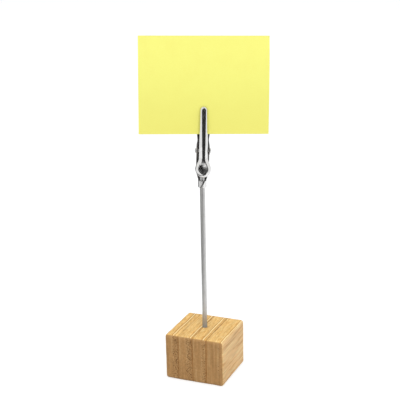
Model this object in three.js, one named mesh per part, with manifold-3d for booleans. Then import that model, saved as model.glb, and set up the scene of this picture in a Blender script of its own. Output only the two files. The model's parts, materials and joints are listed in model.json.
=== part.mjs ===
// Desk memo clip: a laminated bamboo block, a steel wire stem and an alligator clip holding a paper note.
// Millimetres, +Z up, the origin at the centre of the block's underside, the end grain facing -Y.
import * as THREE from "three";
import { mergeVertices } from "three/addons/utils/BufferGeometryUtils.js";
import { RoundedBoxGeometry } from "three/addons/geometries/RoundedBoxGeometry.js";
import Module from "manifold-3d";

// Bamboo block
const BLOCK_W = 25.4;
const BLOCK_D = 25.4;
const BLOCK_H = 19.6;
const BLOCK_EDGE_R = 1.3;
const LAMELLA_WIDTHS = [6.1, 6.25, 6.1];
const HOLE_DEPTH = 13;

// Wire stem
const ROD_D = 2;
const ROD_RISE = 60.3;
const ROD_FIT = 0.08;
const ROD_SEAT_GAP = 0.3;
const ROD_CHAMFER = 0.25;
const CLIP_TURN_DEG = 25;
const CLIP_TILT_DEG = 2.1;

// Pressed sheet of both jaws
const SHEET = 0.5;
const BEND_R = 1.3;
const BEND_MOST = 0.9;
const JAW_REACH = 17.6;
const JAW_TIP_W = 3.15;
const JAW_TIP_DEPTH = 1.4;
const JAW_DEPTH = 2.6;
const JAW_LEAN_DEG = 4;
const EAR_R = 1.6;
const EAR_GAP = 0.15;
const TOOTH_PITCH = 1.2;
const TOOTH_DEPTH = 0.55;
const TOOTH_COUNT = 7;

// Thumb lever of the front jaw
const LEVER_W = 3.85;
const LEVER_NECK = 2.6;
const THUMB_W = 6.15;
const THUMB_REACH = 10;
const THUMB_FLARE = 3;
const THUMB_BEND = 0.45;
const THUMB_FLANGE = 1.5;
const DISH_DEPTH = 0.3;

// Rear jaw, its tail and crimp
const REAR_ROOT_W = 5;
const REAR_WAIST_W = 4.5;
const TAIL_START = 9;
const TAIL_FLANGE = 1.2;
const TAIL_CUTBACK = 3.8;
const TAIL_REACH = 15.2;
const CRIMP_LENGTH = 2.7;
const CRIMP_FIT = 0.05;
const CRIMP_SHEET = 0.62;
const CRIMP_SEAM = 0.45;
const CRIMP_SEAM_DEG = 28;
const ROD_PAST_CRIMP = 1.5;

// Rivet and spring
const PIN_D = 1.2;
const PIN_FIT = 0.06;
const RIVET_HEAD_D = 2;
const RIVET_HEAD_T = 0.55;
const RIVET_RIM = 0.17;
const RIVET_HEAD_GAP = 0.05;
const SPRING_WIRE = 0.36;
const SPRING_R = 1.05;
const SPRING_TURNS = 2;
const SPRING_PITCH = 0.85;
const SPRING_LEG = 5;
const SPRING_SEAT_GAP = 0.1;
const SPRING_LEAST_GAP = 0.4;

// Paper note
const NOTE_W = 51;
const NOTE_H = 38;
const NOTE_T = 0.1;
const NOTE_SEAT = 6.5;
const NOTE_GRIP_GAP = 0.05;
const NOTE_CURL = 2.5;
const NOTE_SKEW_DEG = -0.7;
const NOTE_SHIFT = 0.25;

// Facets
const ROUND_SIDES = 48;
const ROD_SIDES = 32;
const RIVET_SIDES = 24;
const BEND_STEPS = 4;
const WEB_STEPS = 8;
const EDGE_STEPS = 4;
const END_RINGS = 6;
const END_ARC_DEG = 78;
const THUMB_RINGS = 7;
const NECK_RINGS = 2;
const JAW_RINGS = 3;
const WAIST_RINGS = 8;
const TAIL_RINGS = 6;
const NOTE_FOLDS = 12;
const WIRE_SIDES = 6;
const WIRE_STEPS_PER_TURN = 16;
const LEAN_STEPS = 6;
const GAP_SAMPLES = 600;

const OVERCUT = 1;

// Sizes that follow from the ones above
const rodR = ROD_D / 2;
const pinR = PIN_D / 2;
const mouthGap = NOTE_T / 2 + NOTE_GRIP_GAP;
const rearW = LEVER_W + 2 * (EAR_GAP + SHEET);
const rodOffset = JAW_DEPTH - SHEET - CRIMP_FIT - rodR;
const crimpTop = CRIMP_LENGTH - TAIL_REACH;
const crimpMiddle = crimpTop - CRIMP_LENGTH / 2;
const pivotZ = BLOCK_H + ROD_RISE + TAIL_REACH;
const rodTop = pivotZ + crimpTop + ROD_PAST_CRIMP;
const holeFloor = BLOCK_H - HOLE_DEPTH;
const thumbZ = THUMB_W / 2 - THUMB_REACH;
const tipR = JAW_TIP_W / 2;
const tipZ = JAW_REACH - tipR;
const jawLean = THREE.MathUtils.degToRad(JAW_LEAN_DEG);

const wasm = await Module();
wasm.setup();

function solidFrom(geometry) {
  const bare = geometry.clone();
  bare.deleteAttribute("normal");
  bare.deleteAttribute("uv");
  const merged = mergeVertices(bare, 1e-4);
  return new wasm.Manifold(
    new wasm.Mesh({
      numProp: 3,
      vertProperties: merged.attributes.position.array,
      triVerts: new Uint32Array(merged.index.array),
    }),
  );
}

function geometryFrom(solid) {
  const mesh = solid.getMesh();
  const geometry = new THREE.BufferGeometry();
  geometry.setAttribute("position", new THREE.BufferAttribute(mesh.vertProperties.slice(), 3));
  geometry.setIndex(new THREE.BufferAttribute(mesh.triVerts.slice(), 1));
  geometry.computeVertexNormals();
  return geometry;
}

// A solid through closed level rings of equal length, each counterclockwise from above, the lowest first.
function loft(rings) {
  const perRing = rings[0].length;
  const points = rings.flatMap((ring) => ring.flatMap((p) => [p.x, p.y, p.z]));
  const faces = [];
  for (let i = 0; i + 1 < rings.length; i++) {
    for (let j = 0; j < perRing; j++) {
      const next = (j + 1) % perRing;
      const a = i * perRing + j;
      const b = i * perRing + next;
      faces.push(a, b, b + perRing, a, b + perRing, a + perRing);
    }
  }
  const cap = (ring, offset, upward) => {
    const outline = ring.map((p) => new THREE.Vector2(p.x, p.y));
    for (const [a, b, c] of THREE.ShapeUtils.triangulateShape(outline, [])) {
      faces.push(offset + a, offset + (upward ? b : c), offset + (upward ? c : b));
    }
  };
  cap(rings[0], 0, false);
  cap(rings.at(-1), (rings.length - 1) * perRing, true);
  const geometry = new THREE.BufferGeometry();
  geometry.setAttribute("position", new THREE.Float32BufferAttribute(points, 3));
  geometry.setIndex(faces);
  return solidFrom(geometry);
}

// A profile drawn in Y and Z, pushed across X and centred on x = 0.
function across(profile, width) {
  const shape = new THREE.Shape(profile.map(([y, z]) => new THREE.Vector2(y, z)));
  const geometry = new THREE.ExtrudeGeometry(shape, { depth: width, bevelEnabled: false });
  geometry.translate(0, 0, -width / 2);
  const turn = new THREE.Matrix4().makeBasis(
    new THREE.Vector3(0, 1, 0),
    new THREE.Vector3(0, 0, 1),
    new THREE.Vector3(1, 0, 0),
  );
  return solidFrom(geometry.applyMatrix4(turn));
}

// A round bar along X between two ends.
function crossBar(radius, from, to) {
  const bar = new THREE.CylinderGeometry(radius, radius, to - from, ROUND_SIDES);
  bar.rotateZ(-Math.PI / 2);
  bar.translate((from + to) / 2, 0, 0);
  return solidFrom(bar);
}

function uprightBar(radius, from, to, sides) {
  const bar = new THREE.CylinderGeometry(radius, radius, to - from, sides);
  bar.rotateX(Math.PI / 2);
  bar.translate(0, 0, (from + to) / 2);
  return solidFrom(bar);
}

const smooth = THREE.MathUtils.smoothstep;
const mix = THREE.MathUtils.lerp;
const ramp = (value, from, to) => THREE.MathUtils.clamp((value - from) / (to - from), 0, 1);

// Half the width of the front jaw at a height, drawn in by an inset for its hollow side.
function leverHalfWidth(z, inset) {
  if (z > tipZ) return Math.sqrt(Math.max((tipR - inset) ** 2 - (z - tipZ) ** 2, 0));
  if (z > EAR_R) return mix(LEVER_W / 2, tipR, ramp(z, EAR_R, tipZ)) - inset;
  if (z > thumbZ) return mix(THUMB_W / 2, LEVER_W / 2, smooth(z, thumbZ, -LEVER_NECK)) - inset;
  return Math.sqrt(Math.max((THUMB_W / 2 - inset) ** 2 - (z - thumbZ) ** 2, 0));
}

// How far the web of the front jaw stands from the paper, before its ends round over.
function leverDepth(z) {
  const jaw = mix(JAW_DEPTH, JAW_TIP_DEPTH, ramp(z, EAR_R, JAW_REACH));
  const along = ramp(-z, LEVER_NECK, THUMB_REACH);
  const bent = along < THUMB_BEND ? along ** 2 / (2 * THUMB_BEND) : along - THUMB_BEND / 2;
  return jaw + (THUMB_FLARE * bent) / (1 - THUMB_BEND / 2);
}

function leverFlangeEdge(z) {
  const thumb = leverDepth(z) - THUMB_FLANGE;
  return mix(mouthGap, thumb, smooth(-z, EAR_R, -thumbZ));
}

// Half the width of the rear jaw: a rounded tip, a root, a waist, the ears, then a tail down to the crimp.
function rearHalfWidth(z, inset) {
  if (z > tipZ) return Math.sqrt(Math.max((tipR - inset) ** 2 - (z - tipZ) ** 2, 0));
  if (z > NOTE_SEAT) return mix(REAR_ROOT_W / 2, tipR, ramp(z, NOTE_SEAT, tipZ)) - inset;
  const waistZ = (NOTE_SEAT + EAR_R) / 2;
  if (z > waistZ) return mix(REAR_WAIST_W / 2, REAR_ROOT_W / 2, smooth(z, waistZ, NOTE_SEAT)) - inset;
  if (z > EAR_R) return mix(rearW / 2, REAR_WAIST_W / 2, smooth(z, EAR_R, waistZ)) - inset;
  return mix(rearW / 2, rodR + CRIMP_FIT + SHEET, ramp(-z, TAIL_START, -crimpTop)) - inset;
}

function rearDepth(z) {
  return mix(JAW_DEPTH, JAW_TIP_DEPTH, ramp(z, EAR_R, JAW_REACH));
}

// The grip leans back from the hinge line, so that the rear jaw's web runs on in line with the wire.
const rearShift = (z) => Math.max(z, 0) * Math.tan(jawLean);

// The gripping edge along the jaw, cut back below the ears to clear the lever, then out again to the crimp.
function rearFlangeEdge(z) {
  if (z > -TAIL_START) return mix(mouthGap, JAW_DEPTH - TAIL_FLANGE, smooth(-z, 0, TAIL_CUTBACK));
  return mix(JAW_DEPTH - TAIL_FLANGE, rodOffset, ramp(-z, TAIL_START, -crimpTop));
}

// How far a point on a jaw is from its outline.
const fromTip = (x, z, inset) => tipR - inset - Math.hypot(x, z - tipZ);
function leverFromRim(x, z, inset) {
  if (z > tipZ) return fromTip(x, z, inset);
  if (z < thumbZ) return THUMB_W / 2 - inset - Math.hypot(x, z - thumbZ);
  return leverHalfWidth(z, inset) - Math.abs(x);
}
function rearFromRim(x, z, inset) {
  return z > tipZ ? fromTip(x, z, inset) : rearHalfWidth(z, inset) - Math.abs(x);
}

// Drop of the rounded rim: zero on the flat, the bend radius at the very edge.
const roundOver = (distance, radius) =>
  distance >= radius ? 0 : radius - Math.sqrt(Math.max(radius ** 2 - (radius - distance) ** 2, 0));
const bendRadius = (wall) => Math.min(BEND_R, wall * BEND_MOST);

// One level ring of a channel. Side +1 has its web at +Y, side -1 at -Y.
function channelRing(z, side, halfWidth, depth, edge, bend, fall) {
  const r = Math.min(bend, halfWidth * BEND_MOST);
  const half = [new THREE.Vector2(halfWidth, edge)];
  for (let k = 0; k <= BEND_STEPS; k++) {
    const x = halfWidth - r + r * Math.cos((k / BEND_STEPS) * (Math.PI / 2));
    half.push(new THREE.Vector2(x, depth - fall(x)));
  }
  const flat = halfWidth - r;
  const web = [];
  for (let k = 1; k < WEB_STEPS; k++) {
    const x = mix(flat, -flat, k / WEB_STEPS);
    web.push(new THREE.Vector2(x, depth - fall(x)));
  }
  const other = half.map((p) => new THREE.Vector2(-p.x, p.y)).reverse();
  const ring = [...half, ...web, ...other].map((p) => new THREE.Vector3(p.x, side * p.y, z));
  return side > 0 ? ring : ring.reverse();
}

// The shallow thumb dish, deepest at its middle and level at the pad's rim.
function thumbDish(x, z) {
  const reach = THUMB_W / 2 - BEND_R / 2;
  const out = (x ** 2 + (z - thumbZ) ** 2) / reach ** 2;
  return out < 1 ? DISH_DEPTH * (1 - out) ** 2 : 0;
}

// Heights of the rings: close together round each end and wherever the outline curves.
function spread(from, to, steps) {
  return Array.from({ length: steps }, (_, k) => mix(from, to, k / steps));
}
function roundEnd(centre, radius, upward) {
  const heights = [];
  for (let k = 0; k <= END_RINGS; k++) {
    const turn = (k / END_RINGS) * THREE.MathUtils.degToRad(END_ARC_DEG);
    heights.push(centre + (upward ? 1 : -1) * radius * Math.sin(turn));
  }
  return upward ? heights : heights.reverse();
}

function leverBody(inset) {
  const heights = [
    ...roundEnd(thumbZ, THUMB_W / 2 - inset, false).slice(0, -1),
    ...spread(thumbZ, -LEVER_NECK, THUMB_RINGS),
    ...spread(-LEVER_NECK, EAR_R, NECK_RINGS),
    ...spread(EAR_R, tipZ, JAW_RINGS),
    ...roundEnd(tipZ, tipR - inset, true),
  ];
  const rings = heights.map((z) => {
    const bend = bendRadius(leverDepth(z) - leverFlangeEdge(z)) - inset;
    const fall = (x) => roundOver(leverFromRim(x, z, inset), bend) + thumbDish(x, z);
    const edge = leverFlangeEdge(z) - (inset > 0 ? OVERCUT + EAR_R : 0);
    return channelRing(z, -1, leverHalfWidth(z, inset), leverDepth(z) - inset, edge, bend, fall);
  });
  return loft(rings);
}

function rearBody(inset) {
  const end = inset > 0 ? crimpTop - OVERCUT : crimpTop - SHEET;
  const heights = [
    end,
    crimpTop,
    ...spread(-TAIL_START, -TAIL_CUTBACK, NECK_RINGS),
    ...spread(-TAIL_CUTBACK, 0, TAIL_RINGS),
    0,
    ...spread(EAR_R, NOTE_SEAT, WAIST_RINGS),
    ...spread(NOTE_SEAT, tipZ, JAW_RINGS),
    ...roundEnd(tipZ, tipR - inset, true),
  ];
  const rings = heights.map((z) => {
    const bend = bendRadius(rearDepth(z) - rearFlangeEdge(z)) - inset;
    const fall = (x) => roundOver(rearFromRim(x, z, inset), bend);
    const edge = rearShift(z) + rearFlangeEdge(z) - (inset > 0 ? OVERCUT + EAR_R : 0);
    const depth = rearShift(z) + rearDepth(z) - inset;
    return channelRing(z, 1, rearHalfWidth(z, inset), depth, edge, bend, fall);
  });
  return loft(rings);
}

// A row of V notches cut into the gripping edges of one jaw.
function toothCutter(side, shift) {
  const first = tipZ - TOOTH_COUNT * TOOTH_PITCH;
  const last = first + TOOTH_COUNT * TOOTH_PITCH;
  const profile = [[-OVERCUT, first]];
  for (let k = 0; k < TOOTH_COUNT; k++) {
    const z = first + k * TOOTH_PITCH;
    profile.push([mouthGap, z], [mouthGap + TOOTH_DEPTH, z + TOOTH_PITCH / 2]);
  }
  profile.push([mouthGap, last], [-OVERCUT, last]);
  return across(
    profile.map(([y, z]) => [side * y + shift(z), z]),
    rearW + 2 * OVERCUT,
  );
}

function earPair(outerW) {
  const right = crossBar(EAR_R, outerW / 2 - SHEET, outerW / 2);
  const left = crossBar(EAR_R, -outerW / 2, SHEET - outerW / 2);
  return right.add(left);
}
const pinHole = crossBar(pinR + PIN_FIT, -rearW, rearW);

const frontJaw = leverBody(0)
  .subtract(leverBody(SHEET))
  .add(earPair(LEVER_W))
  .subtract(toothCutter(-1, () => 0))
  .subtract(pinHole);

// The crimp: the tail's two wings rolled round the wire, meeting along a slanted seam at the front.
function crimpBarrel() {
  const outer = rodR + CRIMP_FIT + CRIMP_SHEET;
  const barrel = uprightBar(outer, -TAIL_REACH, crimpTop, ROUND_SIDES).translate([0, rodOffset, 0]);
  const seam = solidFrom(new THREE.BoxGeometry(CRIMP_SEAM, 2 * outer, 2 * CRIMP_LENGTH))
    .rotate([0, CRIMP_SEAM_DEG, 0])
    .translate([0, rodOffset - outer, crimpMiddle]);
  return barrel.subtract(seam);
}
// The bore follows the upright wire, to which the clip is crimped a touch askew.
function wireBore() {
  const below = CRIMP_LENGTH / 2 + OVERCUT;
  return uprightBar(rodR + CRIMP_FIT, -below, below + ROD_PAST_CRIMP, ROUND_SIDES)
    .rotate([0, -CLIP_TILT_DEG, 0])
    .translate([0, rodOffset, crimpMiddle]);
}

const rearJaw = rearBody(0)
  .subtract(rearBody(SHEET))
  .add(earPair(rearW))
  .subtract(toothCutter(1, rearShift))
  .subtract(pinHole)
  .add(crimpBarrel())
  .subtract(wireBore());

// The rivet, turned about the hinge line, with a domed head at each end.
function rivetProfile() {
  const shoulder = rearW / 2 + RIVET_HEAD_GAP;
  const headR = RIVET_HEAD_D / 2;
  const dome = RIVET_HEAD_T - RIVET_RIM;
  const half = [
    [pinR, 0],
    [pinR, shoulder],
    [headR, shoulder],
    [headR, shoulder + RIVET_RIM],
  ];
  for (let k = 1; k <= BEND_STEPS; k++) {
    const turn = (k / BEND_STEPS) * (Math.PI / 2);
    const r = k === BEND_STEPS ? 0 : headR * Math.cos(turn);
    half.push([r, shoulder + RIVET_RIM + dome * Math.sin(turn)]);
  }
  const other = half.slice(1).map(([r, h]) => [r, -h]).reverse();
  return [...other, ...half.slice(1)].map(([r, h]) => new THREE.Vector2(r, h));
}
const rivet = new THREE.LatheGeometry(rivetProfile(), RIVET_SIDES);
rivet.rotateZ(-Math.PI / 2);

// The torsion spring: a leg on the rear web, a coil round the rivet and a leg inside the lever.
// A leg leaves the coil along its tangent, and its lean brings its end just short of a jaw's inner face.
function legLean(innerFace) {
  const reach = Math.hypot(SPRING_LEG, SPRING_R);
  let out = SPRING_R;
  for (let k = 0; k < LEAN_STEPS; k++) {
    out = innerFace(-Math.sqrt(reach ** 2 - out ** 2)) - SPRING_WIRE / 2 - SPRING_SEAT_GAP;
  }
  return Math.atan2(SPRING_LEG, SPRING_R) - Math.acos(out / reach);
}
class SpringLine extends THREE.Curve {
  constructor() {
    super();
    this.from = legLean((z) => rearDepth(z) - SHEET);
    const leverLean = jawLean + legLean((z) => leverDepth(z) - SHEET - thumbDish(0, z));
    this.to = Math.PI * (1 + 2 * SPRING_TURNS) - leverLean;
    this.coil = SPRING_R * (this.to - this.from);
  }
  getPoint(t, target = new THREE.Vector3()) {
    const s = t * (2 * SPRING_LEG + this.coil) - SPRING_LEG;
    const onCoil = THREE.MathUtils.clamp(s / this.coil, 0, 1);
    const turn = mix(this.from, this.to, onCoil);
    const beyond = s < 0 ? s : Math.max(s - this.coil, 0);
    const x = ((turn - (this.from + this.to) / 2) / (2 * Math.PI)) * SPRING_PITCH;
    const y = SPRING_R * Math.cos(turn) - beyond * Math.sin(turn);
    const z = SPRING_R * Math.sin(turn) + beyond * Math.cos(turn);
    return target.set(x, y, z);
  }
}
const springLine = new SpringLine();
const springSteps = Math.round((WIRE_STEPS_PER_TURN * springLine.getLength()) / (2 * Math.PI * SPRING_R));
const wireSection = new THREE.Shape(
  Array.from({ length: WIRE_SIDES }, (_, k) => {
    const turn = (k / WIRE_SIDES) * 2 * Math.PI;
    return new THREE.Vector2((SPRING_WIRE / 2) * Math.cos(turn), (SPRING_WIRE / 2) * Math.sin(turn));
  }),
);
const spring = new THREE.ExtrudeGeometry(wireSection, { steps: springSteps, extrudePath: springLine });

// The clear space between turns, along the wire's centre line, leaving out points within half a turn.
function springSelfGap() {
  const points = springLine.getSpacedPoints(GAP_SAMPLES);
  const step = springLine.getLength() / GAP_SAMPLES;
  const skip = Math.ceil((Math.PI * SPRING_R) / step);
  let least = Infinity;
  points.forEach((p, i) => points.slice(i + skip).forEach((q) => (least = Math.min(least, p.distanceTo(q)))));
  return least - SPRING_WIRE;
}
const springGap = springSelfGap();
console.log("spring turns clear each other by " + springGap.toFixed(3) + " mm, wanted " + SPRING_LEAST_GAP);

// The note: flat as far as the jaws reach, then curling gently back to its top edge.
function noteSheet() {
  const top = NOTE_SEAT + NOTE_H;
  const rise = Array.from({ length: NOTE_FOLDS + 1 }, (_, k) => mix(JAW_REACH, top, k / NOTE_FOLDS));
  const back = (z) => NOTE_CURL * ramp(z, JAW_REACH, top) ** 2;
  const front = [NOTE_SEAT, ...rise].map((z) => [back(z) - NOTE_T / 2, z]);
  const rear = front.map(([y, z]) => [y + NOTE_T, z]).reverse();
  return across([...front, ...rear], NOTE_W);
}

// The stem, turned with bevelled ends.
function rodProfile() {
  const low = holeFloor + ROD_SEAT_GAP;
  return [
    [0, low],
    [rodR - ROD_CHAMFER, low],
    [rodR, low + ROD_CHAMFER],
    [rodR, rodTop - ROD_CHAMFER],
    [rodR - ROD_CHAMFER, rodTop],
    [0, rodTop],
  ].map(([r, h]) => new THREE.Vector2(r, h));
}
const rod = new THREE.LatheGeometry(rodProfile(), ROD_SIDES);
rod.rotateX(Math.PI / 2);

// The block, sliced into its glued strips.
const wholeBlock = solidFrom(
  new RoundedBoxGeometry(BLOCK_W, BLOCK_D, BLOCK_H, EDGE_STEPS, BLOCK_EDGE_R).translate(0, 0, BLOCK_H / 2),
).subtract(uprightBar(rodR + ROD_FIT, holeFloor, BLOCK_H + OVERCUT, ROUND_SIDES));
const lamellaSides = [-BLOCK_W / 2];
LAMELLA_WIDTHS.forEach((width) => lamellaSides.push(lamellaSides.at(-1) + width));
lamellaSides[0] -= OVERCUT;
lamellaSides.push(BLOCK_W / 2 + OVERCUT);
const lamellae = lamellaSides.slice(1).map((right, k) => {
  const left = lamellaSides[k];
  const slab = new THREE.BoxGeometry(right - left, BLOCK_D + OVERCUT, BLOCK_H + OVERCUT);
  return wholeBlock.intersect(solidFrom(slab.translate((left + right) / 2, 0, BLOCK_H / 2)));
});

function finish(color, metalness, roughness) {
  return new THREE.MeshStandardMaterial({ color, metalness, roughness });
}
const bamboo = finish(0xc99b63, 0, 0.6);
const steelWire = finish(0xb8b9ba, 1, 0.35);
const nickel = finish(0xd8d9dc, 1, 0.12);
const springSteel = finish(0x9a9ca0, 1, 0.3);
const paper = finish(0xf7f284, 0, 0.9);

function piece(name, geometry, material) {
  const mesh = new THREE.Mesh(geometry, material);
  mesh.name = name;
  return mesh;
}

const group = new THREE.Group();
group.name = "desk_memo_clip";
lamellae.forEach((solid, k) => group.add(piece("block_lamella_" + (k + 1), geometryFrom(solid), bamboo)));

const stem = new THREE.Group();
stem.rotation.z = THREE.MathUtils.degToRad(CLIP_TURN_DEG);
stem.add(piece("stem_rod", rod, steelWire));
group.add(stem);

const crimp = new THREE.Group();
crimp.position.z = pivotZ + crimpMiddle;
crimp.rotation.y = THREE.MathUtils.degToRad(CLIP_TILT_DEG);
stem.add(crimp);

const clip = new THREE.Group();
clip.position.set(0, -rodOffset, -crimpMiddle);
clip.add(piece("rear_jaw", geometryFrom(rearJaw), nickel));
clip.add(piece("pivot_rivet", rivet, nickel));
clip.add(piece("torsion_spring", spring, springSteel));
crimp.add(clip);

const grip = new THREE.Group();
grip.rotation.x = -jawLean;
grip.add(piece("front_jaw", geometryFrom(frontJaw), nickel));
const note = piece("memo_note", geometryFrom(noteSheet()), paper);
note.position.x = NOTE_SHIFT;
note.rotation.y = THREE.MathUtils.degToRad(NOTE_SKEW_DEG);
grip.add(note);
clip.add(grip);

export default group;
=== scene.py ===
# Desk memo clip: a laminated bamboo block, a wire stem and a sprung alligator clip that holds a paper note.
import json
import math
from itertools import product

import bmesh
import bpy
from mathutils import Matrix, Vector, noise


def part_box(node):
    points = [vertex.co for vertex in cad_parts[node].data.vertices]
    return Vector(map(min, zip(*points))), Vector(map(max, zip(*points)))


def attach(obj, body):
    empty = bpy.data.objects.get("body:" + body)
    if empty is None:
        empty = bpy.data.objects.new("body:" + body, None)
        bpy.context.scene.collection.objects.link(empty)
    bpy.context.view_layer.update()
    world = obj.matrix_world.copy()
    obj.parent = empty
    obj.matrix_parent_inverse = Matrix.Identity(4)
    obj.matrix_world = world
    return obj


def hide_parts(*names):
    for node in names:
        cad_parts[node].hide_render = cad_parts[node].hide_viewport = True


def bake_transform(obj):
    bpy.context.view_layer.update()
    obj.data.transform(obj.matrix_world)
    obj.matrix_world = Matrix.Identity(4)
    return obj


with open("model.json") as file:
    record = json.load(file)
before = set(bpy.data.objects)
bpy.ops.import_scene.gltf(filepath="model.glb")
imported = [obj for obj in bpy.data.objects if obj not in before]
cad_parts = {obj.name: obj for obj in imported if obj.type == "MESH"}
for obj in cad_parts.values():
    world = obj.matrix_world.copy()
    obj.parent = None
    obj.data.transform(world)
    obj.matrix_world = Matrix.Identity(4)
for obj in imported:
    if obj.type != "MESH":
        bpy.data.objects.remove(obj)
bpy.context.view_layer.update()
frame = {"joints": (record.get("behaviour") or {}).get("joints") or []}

MM = 0.001

# Sizes of the pressed clip, in millimetres from its hinge pin. A rim is how wide the sheet's edge rounds over
SHEET = 0.5
BEND_R = 1.3
BEND_MOST = 0.9
LIP_R = 0.13
JAW_REACH = 17.6
JAW_TIP_W = 3.15
JAW_TIP_DEPTH = 1.4
JAW_DEPTH = 2.6
EAR_R = 1.6
TOOTH_PITCH = 1.2
TOOTH_DEPTH = 0.55
TOOTH_COUNT = 7
LEVER_W = 3.65
LEVER_NECK = 2.6
LEVER_RIM = 1.6
LEVER_TIP_RIM = 0.82
LEVER_NOSE_RIM = 1.1
THUMB_W = 6.15
THUMB_REACH = 10.0
THUMB_FLARE = 3.0
THUMB_BEND = 0.45
THUMB_FLANGE = 1.5
THUMB_RIM = 1.25
HEEL_SLANT = 0.45
DISH_DEPTH = 0.13
REAR_W = 5.15
REAR_ROOT_W = 5.0
REAR_WAIST_W = 4.5
TAIL_START = 9.0
TAIL_FLANGE = 1.2
TAIL_CUTBACK = 3.8
TAIL_REACH = 15.2
CRIMP_LENGTH = 2.7
CRIMP_SHEET = 0.62
CRIMP_FIT = 0.05
CRIMP_SEAM = 0.45
CRIMP_SEAM_DEG = 28.0
CRIMP_FOLD = 0.3
CRIMP_EASE = 0.9
PIN_R = 0.6
PIN_FIT = 0.06
RIVET_HEAD_R = 1.0
RIVET_HEAD_T = 0.55
RIVET_RIM = 0.17
RIVET_HEAD_GAP = 0.05
SPRING_WIRE = 0.36
SPRING_R = 1.05
SPRING_TURNS = 2
SPRING_PITCH = 0.85
SPRING_LEG = 5.0
SPRING_SEAT_GAP = 0.1
SPRING_END_TAPER = 0.7

# The note, in millimetres from the hinge pin
NOTE_W = 51.0
NOTE_H = 38.0
NOTE_T = 0.1
NOTE_SEAT = 6.5
NOTE_CURL = 2.5
NOTE_SHIFT = 0.25
NOTE_SKEW = math.radians(-0.7)
NOTE_RIPPLE = 0.12
RIPPLE_PER_MM = 0.06
RIPPLE_SEED = 3.1
MOUTH_GAP = 0.1

# The block's worn edges and the wire's fit in it, in millimetres
BLOCK_EDGE_R = 1.3
EDGE_WEAR = 0.2
BROAD_WEAR_PER_MM = 0.3
FINE_WEAR_PER_MM = 0.9
FINE_WEAR = 0.4
GLUE_GROOVE = 0.05
HOLE_DEPTH = 13.0
HOLE_RIM = 0.12
ROD_FIT = 0.08
ROD_CHAMFER = 0.25
ROD_TOP_EASE = 0.3

# Steps of the meshes
EDGE_TURNS = (0, 9, 18, 27, 36, 45)
GLUED_STEPS = (0.0, 0.1, 0.25)
STRIP_STEPS = (7, 26, 20)
HOLE_SIDES = 64
STEM_SIDES = 56
STEM_STEPS = 40
PIN_SIDES = 48
DOME_STEPS = 9
EAR_STEPS = 28
JAW_STEPS = 24
TOOTH_STEPS = 6
TIP_STEPS = 18
HEEL_STEPS = 24
THUMB_STEPS = 26
NECK_STEPS = 4
CRIMP_STEPS = 16
FOLD_STEPS = 8
EASE_STEPS = 6
TAPER_STEPS = 8
TAIL_STEPS = 24
SPRING_STEPS = 190
SPRING_SIDES = 14
NOTE_COLUMNS = 48
NOTE_ROWS = 40
CARD_STEPS = 12

tip_r = JAW_TIP_W / 2
tip_z = JAW_REACH - tip_r
thumb_z = THUMB_W / 2 - THUMB_REACH
crimp_top = CRIMP_LENGTH - TAIL_REACH
crimp_middle = crimp_top - CRIMP_LENGTH / 2

# Places that the joints and the nodes give
joints = {joint["name"]: joint for joint in frame["joints"]}
hinge_place = Vector(joints["jaw_pivot"]["pos_m"])
hinge_axis = Vector(joints["jaw_pivot"]["axis"]).normalized()
clip_turn = math.atan2(hinge_axis.y, hinge_axis.x)
clip_tilt = -math.asin(hinge_axis.z)
clip_axes = Matrix.Rotation(clip_turn, 4, "Z") @ Matrix.Rotation(clip_tilt, 4, "Y")
pull_axis = clip_axes.inverted() @ Vector(joints["note_pull"]["axis"])
jaw_lean = math.atan2(pull_axis.y, pull_axis.z)
clip_place = Matrix.Translation(hinge_place) @ clip_axes
grip_place = clip_place @ Matrix.Rotation(-jaw_lean, 4, "X")
rod_low, rod_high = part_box("stem_rod")
rod_r = (rod_high.x - rod_low.x) / 2 / MM
hole_r = rod_r + ROD_FIT
rod_offset = JAW_DEPTH - SHEET - CRIMP_FIT - rod_r
strip_boxes = [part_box("block_lamella_%d" % number) for number in (1, 2, 3, 4)]
block_low = Vector(map(min, *[low for low, high in strip_boxes]))
block_high = Vector(map(max, *[high for low, high in strip_boxes]))
block_top = block_high.z / MM


def mix(a, b, share):
    return a + (b - a) * share


def ramp(value, low, high):
    return min(max((value - low) / (high - low), 0.0), 1.0)


def smooth(value, low, high):
    share = ramp(value, low, high)
    return share * share * (3 - 2 * share)


def spread(low, high, steps):
    return [mix(low, high, k / steps) for k in range(steps + 1)]


def arc_spread(centre, radius, first_deg, last_deg, steps):
    return [centre + radius * math.sin(math.radians(turn)) for turn in spread(first_deg, last_deg, steps)]


def full_turn(sides):
    return [2 * math.pi * k / sides for k in range(sides)]


def in_order(heights, least_step=0.02):
    """The heights from low to high, without near doubles."""
    kept = []
    for z in sorted(heights):
        if not kept or z - kept[-1] > least_step:
            kept.append(z)
    kept[-1] = max(heights)
    return kept


# Meshes

SMOOTH_ANGLE = math.radians(38)
WELD = 1e-4


def smooth_faces(mesh):
    """Smooth shading but for the sharp edges."""
    mesh.shade_smooth()
    mesh.set_sharp_from_angle(angle=SMOOTH_ANGLE)


def add_object(name, data):
    added = bpy.data.objects.new(name, data)
    bpy.context.scene.collection.objects.link(added)
    return added


def finish_mesh(bm, name, place, *materials):
    """A placed object from a mesh drawn in millimetres."""
    bmesh.ops.remove_doubles(bm, verts=bm.verts, dist=WELD)
    bmesh.ops.dissolve_degenerate(bm, edges=bm.edges, dist=WELD)
    bmesh.ops.recalc_face_normals(bm, faces=bm.faces)
    if bm.calc_volume(signed=True) < 0:
        bmesh.ops.reverse_faces(bm, faces=bm.faces)
    bm.transform(Matrix.Scale(MM, 4))
    mesh = bpy.data.meshes.new(name)
    bm.to_mesh(mesh)
    bm.free()
    smooth_faces(mesh)
    for material in materials:
        mesh.materials.append(material)
    piece = add_object(name, mesh)
    piece.matrix_world = place
    return piece


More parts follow.
